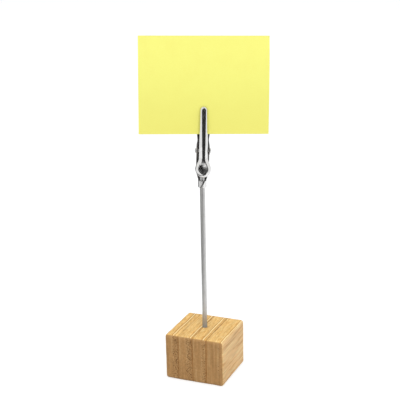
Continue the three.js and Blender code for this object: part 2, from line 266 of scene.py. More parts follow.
def loft(bm, rings, capped=False, shade_points=range(0)):
    """Quads between closed rings of equal length. Those from a shaded point on take the second material,
    which paints shade.
    """
    rows = [[bm.verts.new(point) for point in ring] for ring in rings]
    count = len(rings[0])
    for lower, upper in zip(rows, rows[1:]):
        for k in range(count):
            after = (k + 1) % count
            face = bm.faces.new((lower[k], lower[after], upper[after], upper[k]))
            face.material_index = int(k in shade_points)
    if capped:
        bm.faces.new(rows[0][::-1])
        bm.faces.new(rows[-1])
    return rows


def lathe(bm, profile, sides, axis="Z"):
    """A turned solid from (radius, height) pairs that start and end on the axis."""
    def point(radius, height, turn):
        across = (radius * math.cos(turn), radius * math.sin(turn))
        return (height, *across) if axis == "X" else (*across, height)

    loft(bm, [[point(r, h, turn) for turn in full_turn(sides)] for r, h in profile])


def cut_away(piece, cutter):
    """The piece less the cutter, which is then removed."""
    cut = piece.modifiers.new("cut", "BOOLEAN")
    cut.operation = "DIFFERENCE"
    cut.solver = "MANIFOLD"
    cut.object = cutter
    evaluated = piece.evaluated_get(bpy.context.evaluated_depsgraph_get())
    mesh = bpy.data.meshes.new_from_object(evaluated)
    piece.modifiers.clear()
    piece.data = mesh
    smooth_faces(mesh)
    bpy.data.objects.remove(cutter)


# Shader nodes

def fill(tree, socket, value):
    if value is None:
        return
    if isinstance(value, bpy.types.NodeSocket):
        tree.links.new(value, socket)
    else:
        socket.default_value = value


def add_node(tree, kind, values=(), **settings):
    """A node with its settings. Values go to its inputs in order: a socket is linked, None is left alone."""
    node = tree.nodes.new(kind)
    for name, value in settings.items():
        setattr(node, name, value)
    named = values.items() if isinstance(values, dict) else enumerate(values)
    for key, value in named:
        fill(tree, node.inputs[key], value)
    return node


def calc(tree, operation, a, b=None, c=None):
    return add_node(tree, "ShaderNodeMath", (a, b, c), operation=operation).outputs[0]


def times(tree, a, b):
    return calc(tree, "MULTIPLY", a, b)


def less(tree, a, b):
    return calc(tree, "SUBTRACT", a, b)


def size_of(tree, value):
    return calc(tree, "ABSOLUTE", value)


def gap(tree, a, b):
    return size_of(tree, less(tree, a, b))


def larger(tree, a, b):
    return calc(tree, "MAXIMUM", a, b)


def plus_part(tree, value, part, base):
    """The base with a part of the value added."""
    return calc(tree, "MULTIPLY_ADD", value, part, base)


def fade(tree, value, low, high, at_low=0.0, at_high=1.0):
    """A smooth step from at_low to at_high as value goes from low to high."""
    node = add_node(tree, "ShaderNodeMapRange", (value, low, high, at_low, at_high))
    node.interpolation_type = "SMOOTHSTEP"
    return node.outputs[0]


def tint(tree, share, a, b, blend_type="MIX"):
    node = add_node(tree, "ShaderNodeMix", {0: share, 6: a, 7: b}, data_type="RGBA")
    node.blend_type = blend_type
    return node.outputs[2]


def layered(tree, colour, *layers):
    """The colour under layers of (mask, strength, colour)."""
    for mask, strength, coat in layers:
        colour = tint(tree, times(tree, mask, strength), colour, coat)
    return colour


def axes_of(tree, place):
    return add_node(tree, "ShaderNodeSeparateXYZ", (place,)).outputs


def from_axes(tree, x, y, z):
    return add_node(tree, "ShaderNodeCombineXYZ", (x, y, z)).outputs[0]


def stretched(tree, place, factors):
    return add_node(tree, "ShaderNodeVectorMath", (place, factors), operation="MULTIPLY").outputs[0]


def cloud(tree, place, scale, detail=2.0, roughness=0.5, kind="Fac"):
    values = {"Vector": place, "Scale": scale, "Detail": detail, "Roughness": roughness}
    return add_node(tree, "ShaderNodeTexNoise", values).outputs[kind]


def long_cloud(tree, place, factors, detail=2.0, roughness=0.5):
    return cloud(tree, stretched(tree, place, factors), 1.0, detail, roughness)


def new_group(name, inputs, outputs):
    """An empty shader group, with its inputs' values and its outputs' kinds by name."""
    group = bpy.data.node_groups.new(name, "ShaderNodeTree")
    for title, value in inputs.items():
        socket = group.interface.new_socket(title, in_out="INPUT", socket_type="NodeSocketFloat")
        socket.default_value = value
    for title, kind in outputs.items():
        group.interface.new_socket(title, in_out="OUTPUT", socket_type="NodeSocket" + kind)
    given = add_node(group, "NodeGroupInput").outputs
    return group, given, add_node(group, "NodeGroupOutput").inputs


def use_group(tree, group, **values):
    node = add_node(tree, "ShaderNodeGroup", node_tree=group)
    for name, value in values.items():
        fill(tree, node.inputs[name.replace("_", " ")], value)
    return node.outputs


def new_material(name, **constants):
    """A material with a Principled shader, whose plain values are set on its own sockets."""
    material = bpy.data.materials.new(name)
    material.use_nodes = True
    tree = material.node_tree
    shader = tree.nodes["Principled BSDF"]
    for title, value in constants.items():
        shader.inputs[title.replace("_", " ")].default_value = value
    return material, tree, shader


def dress(tree, shader, colour, rough, height, relief):
    """The shader's colour, its roughness, and a height that stands out by the relief in millimetres."""
    fill(tree, shader.inputs["Base Color"], colour)
    fill(tree, shader.inputs["Roughness"], rough)
    values = {"Strength": 1.0, "Distance": relief * MM, "Height": height}
    fill(tree, shader.inputs["Normal"], add_node(tree, "ShaderNodeBump", values).outputs[0])


def in_mm(tree):
    """The piece's own coordinates, in millimetres."""
    return stretched(tree, add_node(tree, "ShaderNodeTexCoord").outputs["Object"], (1 / MM,) * 3)


# Bamboo: its colours

STRAW = (0.80, 0.485, 0.155, 1)
STRAW_PALE = (0.92, 0.70, 0.34, 1)
STRAW_DARK = (0.47, 0.18, 0.012, 1)
# The flank tone is painted light: the sides take their own paler tone, set to how lit they look
FLANK_PAINTED_LIGHT = (0.82, 0.52, 0.235, 1)
# The end grain's base is partly its own darker colour and partly painted shade
END_BASE_AND_SHADE = (0.42, 0.225, 0.082, 1)
END_DOT = (0.13, 0.05, 0.006, 1)
END_PALE = (0.60, 0.39, 0.18, 1)
GLUE = (0.29, 0.115, 0.018, 1)
EDGE_BURNISH = (0.42, 0.235, 0.08, 1)

# The fibres: how far they sway and drift, how bundles are strewn as (scale, radius), and clouds of noise as
# (stretch or scale, detail, roughness)
FACE_TURN = (0.45, 0.8)
SWAY_PER_MM = 0.09
SWAY_X = 0.8
SWAY_Z = -0.6
FIBRE_DRIFT = 0.006
SKIN_SIDE = (0.42, 0.85)
PITH_BUNDLES = 0.06
JITTER_PER_MM = 2.6
JITTER = (0.3, 0.0, 0.3)
LARGE_BUNDLES = (1.8, 0.5)
SMALL_BUNDLES = (2.8, 0.47)
SMALL_BUNDLE_TONE = 0.85
BUNDLE_CORE = 0.4
BUNDLE_FADE = 0.12
FINE_FIBRES = ((7.0, 30.0, 7.0), 3.0, 0.6)
BROAD_BANDS = ((0.8, 12.0, 0.8), 2.0, 0.5)
TOP_ROWS = ((2.4, 9.0, 2.4), 2.5, 0.6)
TOP_ROW_LOSS = -0.6
TOP_FLECKS = ((2.2, 60.0, 2.2), 2.0, 0.6)
FLANK_ROWS = ((0.9, 9.0, 0.75), 3.5, 0.65)
END_LAYERS = ((1.6, 3.0, 0.07), 2.5, 0.6)
PALE_ROW = (0.52, 0.63)
DARK_ROW = (0.48, 0.36)
PALE_FLECK = (0.52, 0.64)
DARK_FLECK = (0.46, 0.36)
PALE_LAYER = (0.5, 0.7)
DARK_LAYER = (0.5, 0.3)
DOT_RIM = (0.05, 0.5)
DOT_HEART = (0.2, 0.8)
BAND_TONE = 0.5
FIBRE_TONE = 0.34

# A strip's strong streak, its glue lines and its worn edges: fades over millimetres, and steps between them
DARK_STREAK = (0.2, 0.08)
PALE_STREAK = (0.34, 0.14)
PALE_STREAK_STEP = 0.42
SECOND_STREAK = (0.16, 0.05)
SECOND_STREAK_STEP = 0.95
LEFT_GLUE = (0.16, 0.03)
RIGHT_GLUE = (0.28, 0.04)
SKIN_BAND = (0.9, 0.1)
SKIN_BAND_TONE = 0.5
WORN_EDGE = (1.15, 0.4)
SCUFFS = (0.9, 3.0, 0.65)
SCUFF_REACH = 0.9

# Roughness and relief of the grain
BAMBOO_ROUGH = 0.46
FINE_ROUGH = 0.22
END_ROUGH = 0.12
FINE_RELIEF = 0.5
DOT_RELIEF = -0.5
GLUE_RELIEF = -0.6
BAMBOO_RELIEF = 0.05

# How the four strips differ, from the left
STRIP_SEED = 7.3
STRIP_LOOKS = {
    "Streak_At": (3.3, 4.85, 4.1, 6.0),
    "Tone": (0.615, 0.61, 0.59, 0.595),
    "Left_Glue": (0.0, 1.0, 1.0, 1.0),
    "Right_Glue": (0.9, 1.0, 1.8, 0.0),
    "Crowding": (1.05, 1.25, 0.4, 0.3),
}


def bamboo_group():
    """Fibre bundles that run along Y: dots on the end grain and streaks along the sides."""
    tree, given, result = new_group(
        "bamboo_fibres",
        {"Strip Left": 0.0, "Strip Width": 6.0, "Seed": 0.0, "Streak At": 3.0,
         "Left Glue": 1.0, "Right Glue": 1.0, "Tone": 0.5, "Crowding": 0.8},
        {"Colour": "Color", "Roughness": "Float", "Height": "Float"},
    )
    place = in_mm(tree)
    parts = axes_of(tree, place)
    facing = axes_of(tree, add_node(tree, "ShaderNodeTexCoord").outputs["Normal"])
    end_grain = fade(tree, size_of(tree, facing[1]), *FACE_TURN)
    flank = fade(tree, size_of(tree, facing[0]), *FACE_TURN)

    # A slow sway of the fibres along the strip
    sway = less(tree, cloud(tree, from_axes(tree, given["Seed"], parts[1], 0.0), SWAY_PER_MM, 1.0), 0.5)
    x = plus_part(tree, sway, SWAY_X, parts[0])
    z = plus_part(tree, sway, SWAY_Z, parts[2])
    along = plus_part(tree, parts[1], FIBRE_DRIFT, given["Seed"])
    fibre_place = from_axes(tree, x, along, z)

    # Bundles are few in the pith and crowd towards the skin side
    across = less(tree, x, given["Strip Left"])
    skin = fade(tree, calc(tree, "DIVIDE", across, given["Strip Width"]), *SKIN_SIDE)
    density = plus_part(tree, skin, given["Crowding"], PITH_BUNDLES)
    jitter = cloud(tree, fibre_place, JITTER_PER_MM, kind="Color")
    uneven = add_node(tree, "ShaderNodeVectorMath", (jitter, JITTER, fibre_place), operation="MULTIPLY_ADD")

    def bundles(scale, radius):
        cells = add_node(tree, "ShaderNodeTexVoronoi", {"Vector": uneven.outputs[0], "Scale": scale}).outputs
        dot = fade(tree, cells["Distance"], radius, radius * BUNDLE_CORE)
        return times(tree, dot, fade(tree, less(tree, density, cells["Color"]), 0.0, BUNDLE_FADE))

    dots = larger(tree, bundles(*LARGE_BUNDLES), times(tree, bundles(*SMALL_BUNDLES), SMALL_BUNDLE_TONE))
    fine = long_cloud(tree, fibre_place, *FINE_FIBRES)
    broad = long_cloud(tree, fibre_place, *BROAD_BANDS)
    rows = long_cloud(tree, fibre_place, *TOP_ROWS)
    bands = long_cloud(tree, fibre_place, *FLANK_ROWS)
    rows = plus_part(tree, flank, less(tree, bands, rows), rows)
    layers = long_cloud(tree, fibre_place, *END_LAYERS)
    pale_line = fade(tree, rows, *PALE_ROW)
    dark_line = fade(tree, rows, *DARK_ROW)

    # Sides along the fibres: rows, fainter on top, where there are flecks and one strong pair a strip
    off_streak = less(tree, across, given["Streak At"])
    dark_streak = fade(tree, size_of(tree, off_streak), *DARK_STREAK)
    second_streak = fade(tree, gap(tree, off_streak, SECOND_STREAK_STEP), *SECOND_STREAK)
    dark_streak = larger(tree, dark_streak, second_streak)
    pale_streak = fade(tree, gap(tree, off_streak, PALE_STREAK_STEP), *PALE_STREAK)
    on_top = less(tree, 1.0, flank)
    row_share = plus_part(tree, on_top, TOP_ROW_LOSS, 1.0)
    flecks = long_cloud(tree, fibre_place, *TOP_FLECKS)
    # Painted light: the sides are tinted to the flank tone, set to how lit they look
    side = layered(
        tree, tint(tree, flank, STRAW, FLANK_PAINTED_LIGHT),
        (times(tree, pale_line, row_share), 0.7, STRAW_PALE),
        (times(tree, dark_line, row_share), 0.45, STRAW_DARK),
        (dots, 0.5, STRAW_DARK),
        (times(tree, fade(tree, flecks, *PALE_FLECK), on_top), 0.5, STRAW_PALE),
        (times(tree, fade(tree, flecks, *DARK_FLECK), on_top), 0.4, STRAW_DARK),
        (times(tree, dark_streak, on_top), 0.85, STRAW_DARK),
        (times(tree, pale_streak, on_top), 1.0, STRAW_PALE),
    )

    # End grain: upright layers, and dark dots with pale rims, on a base that is partly the end grain's own
    # darker colour and partly painted shade
    end = layered(
        tree, END_BASE_AND_SHADE,
        (pale_line, 0.22, END_PALE),
        (fade(tree, layers, *PALE_LAYER), 0.36, END_PALE),
        (fade(tree, layers, *DARK_LAYER), 0.2, END_DOT),
        (fade(tree, dots, *DOT_RIM), 0.35, END_PALE),
        (fade(tree, dots, *DOT_HEART), 0.95, END_DOT),
    )
    colour = tint(tree, end_grain, side, end)

    # Tone from strip to strip and in broad bands, and a hair of fine fibre
    toned = plus_part(tree, broad, BAND_TONE, given["Tone"])
    toned = plus_part(tree, fine, FIBRE_TONE, toned)
    colour = tint(tree, 1.0, colour, toned, "MULTIPLY")

    # Glue lines at the joined sides
    from_right = less(tree, given["Strip Width"], across)
    left_line = times(tree, fade(tree, across, *LEFT_GLUE), given["Left Glue"])
    skin_band = times(tree, fade(tree, from_right, *SKIN_BAND), SKIN_BAND_TONE)
    right_line = larger(tree, fade(tree, from_right, *RIGHT_GLUE), skin_band)
    glue = larger(tree, left_line, times(tree, right_line, given["Right Glue"]))

    # Edges burnished by handling: where two of the three distances to the faces are small
    half = (block_high - block_low) / (2 * MM)
    middled = (parts[0], parts[1], less(tree, parts[2], half.z))
    to_x, to_y, to_z = [less(tree, reach, size_of(tree, part)) for reach, part in zip(half, middled)]
    nearer = calc(tree, "MINIMUM", to_x, to_y)
    farther = larger(tree, to_x, to_y)
    second = larger(tree, nearer, calc(tree, "MINIMUM", farther, to_z))
    worn = fade(tree, plus_part(tree, cloud(tree, place, *SCUFFS), SCUFF_REACH, second), *WORN_EDGE)
    colour = layered(tree, colour, (glue, 0.55, GLUE), (worn, 0.65, EDGE_BURNISH))

    rough = plus_part(tree, fine, FINE_ROUGH, BAMBOO_ROUGH)
    height = plus_part(tree, dots, DOT_RELIEF, times(tree, fine, FINE_RELIEF))
    fill(tree, result["Colour"], colour)
    fill(tree, result["Roughness"], plus_part(tree, end_grain, END_ROUGH, rough))
    fill(tree, result["Height"], plus_part(tree, glue, GLUE_RELIEF, height))
    return tree


def bamboo_material(number, group, **values):
    material, tree, shader = new_material("bamboo_strip_%d" % number, Specular_IOR_Level=0.35)
    grain = use_group(tree, group, **values)
    dress(tree, shader, grain["Colour"], grain["Roughness"], grain["Height"], BAMBOO_RELIEF)
    return material


def edge_steps(low, high, low_round, high_round, middle_steps):
    """Places along one side of the block, close together where an edge is rounded or glued."""
    arc = [math.tan(math.radians(turn)) * BLOCK_EDGE_R for turn in EDGE_TURNS]
    start, stop = [low + step for step in GLUED_STEPS], [high - step for step in GLUED_STEPS]
    if low_round:
        start = [low + BLOCK_EDGE_R - step for step in arc]
    if high_round:
        stop = [high - BLOCK_EDGE_R + step for step in arc]
    return sorted(start + stop + spread(max(start), min(stop), middle_steps)[1:-1])


def worn_corner(point, low, high, open_left, open_right):
    """A point of the boxed lattice moved to the block's rounded and unevenly worn edge."""
    place = Vector(point)
    wear = noise.noise(place * BROAD_WEAR_PER_MM) + FINE_WEAR * noise.noise(place * FINE_WEAR_PER_MM)
    radius = BLOCK_EDGE_R * (1 + EDGE_WEAR * wear)
    core = []
    for axis, value in enumerate(point):
        lowest = low[axis] + (radius if axis or open_left else -radius)
        highest = high[axis] - (radius if axis or open_right else -radius)
        core.append(min(max(value, lowest), highest))
    out = place - Vector(core)
    return Vector(core) + out.normalized() * radius if out.length > radius else place


def bamboo_strip(number):
    low, high = [corner / MM for corner in strip_boxes[number - 1]]
    open_left, open_right = number == 1, number == 4
    x_steps, y_steps, z_steps = STRIP_STEPS
    xs = edge_steps(low.x, high.x, open_left, open_right, x_steps)
    ys = edge_steps(low.y, high.y, True, True, y_steps)
    zs = edge_steps(low.z, high.z, True, True, z_steps)
    counts = [len(xs), len(ys), len(zs)]
    bm = bmesh.new()
    corners = {}

    def corner(i, j, k):
        if (i, j, k) not in corners:
            point = worn_corner((xs[i], ys[j], zs[k]), low, high, open_left, open_right)
            on_skin = j in (0, counts[1] - 1) or k in (0, counts[2] - 1)
            glued = (i == 0 and not open_left) or (i == counts[0] - 1 and not open_right)
            if glued and on_skin:
                middle = Vector((point.x, 0, (low.z + high.z) / 2))
                point += (middle - point).normalized() * GLUE_GROOVE
            corners[i, j, k] = bm.verts.new(point)
        return corners[i, j, k]

    for axis in range(3):
        first, second = [other for other in range(3) if other != axis]
        levels = (0, counts[axis] - 1)
        for level, p, q in product(levels, range(counts[first] - 1), range(counts[second] - 1)):
            ring = []
            for dp, dq in ((0, 0), (1, 0), (1, 1), (0, 1)):
                index = [0, 0, 0]
                index[axis], index[first], index[second] = level, p + dp, q + dq
                ring.append(corner(*index))
            bm.faces.new(ring)
    return finish_mesh(bm, "bamboo_strip_%d" % number, Matrix.Identity(4))


def stem_hole():
    """The drill that makes the stem's hole, with a slight rim at the top."""
    floor, above = block_top - HOLE_DEPTH, block_top + 1
    rim_r = hole_r + HOLE_RIM
    bm = bmesh.new()
    profile = [
        (0, floor), (hole_r, floor), (hole_r, block_top - HOLE_RIM),
        (rim_r, block_top + HOLE_RIM / 4), (rim_r, above), (0, above),
    ]
    lathe(bm, profile, HOLE_SIDES)
    return finish_mesh(bm, "stem_hole", Matrix.Identity(4))


def make_block():
    group = bamboo_group()
    for number in (1, 2, 3, 4):
        strip = bamboo_strip(number)
        low, high = strip_boxes[number - 1]
        looks = {name: values[number - 1] for name, values in STRIP_LOOKS.items()}
        strip.data.materials.append(bamboo_material(
            number, group, Strip_Left=low.x / MM, Strip_Width=(high.x - low.x) / MM, Seed=number * STRIP_SEED,
            **looks,
        ))
        if low.x < hole_r * MM and high.x > -hole_r * MM:
            cut_away(strip, stem_hole())
        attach(strip, "block")
        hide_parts("block_lamella_%d" % number)


# Metal: its colours, marks of handling with hairline scratches as (turn, scale), and the painted shade that
# darkens the wire's foot, standing in for its dark reflection

NICKEL = (0.76, 0.755, 0.745, 1)
NICKEL_DULL = (0.60, 0.595, 0.58, 1)
WIRE = (0.60, 0.60, 0.59, 1)
WIRE_DARK = (0.43, 0.43, 0.42, 1)
WIRE_FOOT_SHADE = (0.27, 0.30, 0.32, 1)
# Painted shade: the channels' insides are painted dark where the sheet's hollow is shadowed
INSIDE_PAINTED_SHADE = (0.20, 0.19, 0.18, 1)
INSIDE_PAINTED_SHADE_DARK = (0.06, 0.055, 0.05, 1)

SMUDGES = (0.35, 4.0, 0.6)
SMUDGE_FADE = (0.42, 0.7)
GRIME = (1.6, 3.0, 0.6)
GRIME_FADE = (0.5, 0.8)
HAIRLINES = ((0.5, 1.3), (-0.9, 1.7), (1.9, 1.1))
HAIRLINE_STRETCH = (11.0, 11.0, 0.35)
HAIRLINE_WIDTH = (0.02, 0.004)
HAIRLINE_BREAKS = (0.8, 2.0, 0.5)
BREAK_FADE = (0.5, 0.65)
DRAWN_LINES = ((9.0, 9.0, 0.12), 3.0, 0.6)
SMUDGE_DULLS = 0.25
GRIME_DULLS = 0.2
LINES_DULL = 0.7
SMUDGE_ROUGH = 0.05
SCRATCH_ROUGH = 0.035
LINES_ROUGH = 0.12
SCRATCH_RELIEF = -0.2
# Painted shade on the wire's foot: its cloud, the heights above the block over which it fades in, its
# unevenness and the loss of metal
FOOT_CLOUD = (1.2, 3.0, 0.5)
FOOT_SHADE_SPAN = (6, 1)
FOOT_UNEVEN = 2.0
FOOT_METAL_LOSS = -0.7

# Name, bright and dull colour, relief in millimetres, scratches, drawn lines and roughness
METALS = (
    ("nickel_plate", NICKEL, NICKEL_DULL, 0.004, 0.4, 0.0, 0.13),
    ("drawn_steel_wire", WIRE, WIRE_DARK, 0.012, 0.4, 1.0, 0.3),
    ("plate_inside_painted_shade", INSIDE_PAINTED_SHADE, INSIDE_PAINTED_SHADE_DARK, 0.01, 0.6, 0.6, 0.28),
    ("spring_steel", WIRE, WIRE_DARK, 0.006, 0.3, 0.5, 0.25),
)


def handling_group():
    """Fine scratches, smudges and drawn lines of metal that is handled."""
    tree, given, result = new_group(
        "handled_metal",
        {"Scratches": 1.0, "Drawn Lines": 0.0, "Polish": 0.1},
        {"Dulling": "Float", "Roughness": "Float", "Height": "Float"},
    )
    place = in_mm(tree)
    smudge = fade(tree, cloud(tree, place, *SMUDGES), *SMUDGE_FADE)
    grime = fade(tree, cloud(tree, place, *GRIME), *GRIME_FADE)
    scratch = 0.0
    for turn, scale in HAIRLINES:
        values = {"Vector": place, "Angle": turn}
        turned = add_node(tree, "ShaderNodeVectorRotate", values, rotation_type="Y_AXIS").outputs[0]
        hairs = cloud(tree, stretched(tree, turned, HAIRLINE_STRETCH), scale, 1.0)
        scratch = larger(tree, scratch, fade(tree, gap(tree, hairs, 0.5), *HAIRLINE_WIDTH))
    broken = fade(tree, cloud(tree, place, *HAIRLINE_BREAKS), *BREAK_FADE)
    scratch = times(tree, times(tree, scratch, broken), given["Scratches"])
    lines = times(tree, long_cloud(tree, place, *DRAWN_LINES), given["Drawn Lines"])
    dulling = plus_part(tree, smudge, SMUDGE_DULLS, times(tree, grime, GRIME_DULLS))
    rough = plus_part(tree, smudge, SMUDGE_ROUGH, given["Polish"])
    rough = plus_part(tree, scratch, SCRATCH_ROUGH, rough)
    fill(tree, result["Dulling"], plus_part(tree, lines, LINES_DULL, dulling))
    fill(tree, result["Roughness"], plus_part(tree, lines, LINES_ROUGH, rough))
    fill(tree, result["Height"], plus_part(tree, scratch, SCRATCH_RELIEF, lines))
    return tree


def metal_material(group, name, bright, dull, relief, scratches, lines, polish):
    material, tree, shader = new_material(name, Metallic=1.0)
    handled = use_group(tree, group, Scratches=scratches, Drawn_Lines=lines, Polish=polish)
    colour = tint(tree, handled["Dulling"], bright, dull)
    dress(tree, shader, colour, handled["Roughness"], handled["Height"], relief)
    return material


def paint_foot_shade(material):
    """Painted shade: the wire is painted darker and less metallic where it enters the block, standing in for
    its dark reflection there.
    """
    tree = material.node_tree
    shader = tree.nodes["Principled BSDF"]
    colour = shader.inputs["Base Color"]
    place = in_mm(tree)
    height = plus_part(tree, cloud(tree, place, *FOOT_CLOUD), FOOT_UNEVEN, axes_of(tree, place)[2])
    foot_shade = fade(tree, height, *[block_top + reach for reach in FOOT_SHADE_SPAN])
    fill(tree, colour, tint(tree, foot_shade, colour.links[0].from_socket, WIRE_FOOT_SHADE))
    fill(tree, shader.inputs["Metallic"], plus_part(tree, foot_shade, FOOT_METAL_LOSS, 1.0))


# Pressed sheet: channel sections of equal count, each from the right edge over the web to the left edge

WALL_STEPS = 5
BEND_STEPS = 8
WEB_STEPS = 14
PATH_POINTS = 2 * (WALL_STEPS + BEND_STEPS) + WEB_STEPS + 1
LIP_POINTS = 4
# Points whose faces line the channel inside and take the painted shade material
SHADE_PAINTED_POINTS = range(PATH_POINTS - 1, 2 * (PATH_POINTS + LIP_POINTS))
LIP_MOST = 0.4
LIP_OUT = 0.7
LIP_IN = 0.3
LIP_OF_WALL = 0.3
CLOSED_WIDTH = 0.45
CLOSED_LIPS = 1.1
NO_LENGTH = 1e-5
NO_WIDTH = 1e-3
HALVINGS = 30


def round_over(distance, width, drop, slant):
    """How far a rim has dropped at a distance from the outline: a slant and a round, full at the outline."""
    share = 1 - ramp(distance, 0, width)
    fall = slant * width
    return fall * share + (drop - fall) * (1 - math.sqrt(1 - share ** 2))


def jaw_depth(z):
    return mix(JAW_DEPTH, JAW_TIP_DEPTH, ramp(z, EAR_R, JAW_REACH))


def toothed(edge, z):
    """The gripping edge with its row of V notches."""
    along = (z - tip_z) / TOOTH_PITCH + TOOTH_COUNT
    if not 0 <= along <= TOOTH_COUNT:
        return edge
    return edge + TOOTH_DEPTH * (1 - abs(2 * (along % 1) - 1))


def with_ear(edge, z):
    """The edge carried out round the hinge ear."""
    return min(edge, -math.sqrt(EAR_R ** 2 - z ** 2)) if abs(z) < EAR_R else edge


def round_tip(z, inset):
    return math.sqrt(max((tip_r - inset) ** 2 - (z - tip_z) ** 2, 0.0))


def channel_path(half_width, edge, bend, face):
    """From the right edge up the wall, round the rim and along the web, then the same down the left side."""
    start = half_width
    if face(half_width) < edge:
        inside = 0.0
        for _ in range(HALVINGS):
            middle = (inside + start) / 2
            inside, start = (inside, middle) if face(middle) < edge else (middle, start)
        start = inside
    rim = min(bend, BEND_MOST * half_width)
    right = [(start, mix(edge, max(face(start), edge), k / WALL_STEPS)) for k in range(WALL_STEPS)]
    for k in range(BEND_STEPS):
        x = min(half_width - rim * (1 - math.cos(k / BEND_STEPS * math.pi / 2)), start)
        right.append((x, max(face(x), edge)))
    flat = min(half_width - rim, start)
    left = [(-x, y) for x, y in reversed(right)]
    return right + [(x, face(x)) for x in spread(flat, -flat, WEB_STEPS)] + left


def lip(path, other, r):
    """Points round the cut edge of the sheet, from the end of one path to the end of the other."""
    here, there = Vector(path[-1]), Vector(other[-1])
    thick = (there - here).length
    if thick < NO_LENGTH or r < NO_LENGTH:
        return []
    step = (there - here) / thick
    beyond = Vector((step.y, -step.x))
    if beyond.dot(here - Vector(path[-1 - WALL_STEPS])) < 0:
        beyond = -beyond
    r = min(r, LIP_MOST * thick)
    return [
        here + (LIP_OUT * beyond + LIP_IN * step) * r,
        here + (beyond + step) * r,
        there + (beyond - step) * r,
        there + (LIP_OUT * beyond - LIP_IN * step) * r,
    ]


def sheet_ring(z, outer, inner, side, r):
    """One closed ring of pressed sheet with rounded lips. Side +1 has the web at +Y, side -1 at -Y."""
    left = lip(outer, inner, r) or [Vector(outer[-1])] * LIP_POINTS
    right = lip(inner[::-1], outer[::-1], r) or [Vector(outer[0])] * LIP_POINTS
    ring = [Vector(point) for point in outer] + left + [Vector(point) for point in inner[::-1]] + right
    return [(point.x, side * point.y, z) for point in ring]


def channel_ring(z, side, half_width, from_rim, depth, wall, edge, rim, dish=None, slant=0.0):
    """A ring of channel section whose rim is rounded by its distance from the outline."""
    drop = min(BEND_R, BEND_MOST * wall)
    r = max(min(LIP_R, LIP_OF_WALL * (depth - edge)), 0.0)

    def face(inset):
        def height(x):
            sunk = dish(x, z) if dish else 0.0
            return depth - inset - sunk - round_over(from_rim(x, z, inset), rim - inset, drop - inset, slant)
        return height

    outer_w, inner_w = half_width(z, 0), half_width(z, SHEET)
    outer = channel_path(outer_w, edge + r, rim, face(0))
    if inner_w < NO_WIDTH or face(SHEET)(0) < edge + 2 * r:
        inner = channel_path(CLOSED_WIDTH * outer_w, edge + r, rim - SHEET, lambda x: edge + CLOSED_LIPS * r)
    else:
        inner = channel_path(inner_w, edge + r, rim - SHEET, face(SHEET))
    return sheet_ring(z, outer, inner, side, r)


def jaw_heights():
    """Ring heights from the hinge up: round the ear, along the teeth and round the tip."""
    ear = arc_spread(0, EAR_R, -90, 90, EAR_STEPS)
    teeth = spread(tip_z - TOOTH_COUNT * TOOTH_PITCH, tip_z, TOOTH_COUNT * TOOTH_STEPS)
    return ear + spread(EAR_R, tip_z, JAW_STEPS) + teeth + arc_spread(tip_z, tip_r, 0, 90, TIP_STEPS)


# Lever: the front jaw and its thumb plate in one pressing

def lever_half_width(z, inset):
    if z > tip_z:
        return round_tip(z, inset)
    if z > EAR_R:
        return mix(LEVER_W / 2, tip_r, ramp(z, EAR_R, tip_z)) - inset
    if z > thumb_z:
        return mix(THUMB_W / 2, LEVER_W / 2, smooth(z, thumb_z, -LEVER_NECK)) - inset
    return math.sqrt(max((THUMB_W / 2 - inset) ** 2 - (z - thumb_z) ** 2, 0.0))


def lever_depth(z):
    along = ramp(-z, LEVER_NECK, THUMB_REACH)
    bent = along ** 2 / (2 * THUMB_BEND) if along < THUMB_BEND else along - THUMB_BEND / 2
    return jaw_depth(z) + THUMB_FLARE * bent / (1 - THUMB_BEND / 2)


def thumb_dish(x, z):
    reach = THUMB_W / 2 - THUMB_RIM
    return DISH_DEPTH * max(1 - (x ** 2 + (z - thumb_z) ** 2) / reach ** 2, 0.0)


def lever_from_rim(x, z, inset):
    if z > tip_z:
        return tip_r - inset - math.hypot(x, z - tip_z)
    if z < thumb_z:
        return THUMB_W / 2 - inset - math.hypot(x, z - thumb_z)
    return lever_half_width(z, inset) - abs(x)


def lever_ring(z):
    depth = lever_depth(z)
    edge = mix(MOUTH_GAP, depth - THUMB_FLANGE, smooth(-z, EAR_R, -thumb_z))
    rim = mix(LEVER_RIM, LEVER_TIP_RIM, ramp(z, -LEVER_NECK, tip_z))
    rim = mix(rim, LEVER_NOSE_RIM, ramp(z, tip_z, JAW_REACH))
    rim = mix(rim, THUMB_RIM, ramp(-z, LEVER_NECK, -thumb_z))
    return channel_ring(
        z, -1, lever_half_width, lever_from_rim, depth, depth - edge, with_ear(toothed(edge, z), z), rim,
        thumb_dish, HEEL_SLANT * smooth(-z, -thumb_z, THUMB_REACH - THUMB_RIM),
    )


def pin_hole(place):
    bm = bmesh.new()
    r = PIN_R + PIN_FIT
    lathe(bm, [(0, -REAR_W), (r, -REAR_W), (r, REAR_W), (0, REAR_W)], PIN_SIDES, "X")
    return finish_mesh(bm, "pin_hole", place)


def pressed_piece(bm, name, place, plate, plate_inside_painted_shade):
    """A pressing with its pin hole, plated outside and painted dark inside as painted shade."""
    piece = finish_mesh(bm, name, place, plate, plate_inside_painted_shade)
    cut_away(piece, pin_hole(place))
    return piece


def make_lever(plate, plate_inside_painted_shade):
    heel = arc_spread(thumb_z, THUMB_W / 2, -90, 0, HEEL_STEPS)
    thumb = spread(thumb_z, -LEVER_NECK, THUMB_STEPS)
    neck = spread(-LEVER_NECK, -EAR_R, NECK_STEPS)
    bm = bmesh.new()
    loft(bm, [lever_ring(z) for z in in_order(heel + thumb + neck + jaw_heights())], shade_points=SHADE_PAINTED_POINTS)
    lever = pressed_piece(bm, "lever_pressing", grip_place, plate, plate_inside_painted_shade)
    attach(lever, "lever")
    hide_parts("front_jaw")


# Rear jaw: its toothed jaw, its ears and a tail that wraps the wire

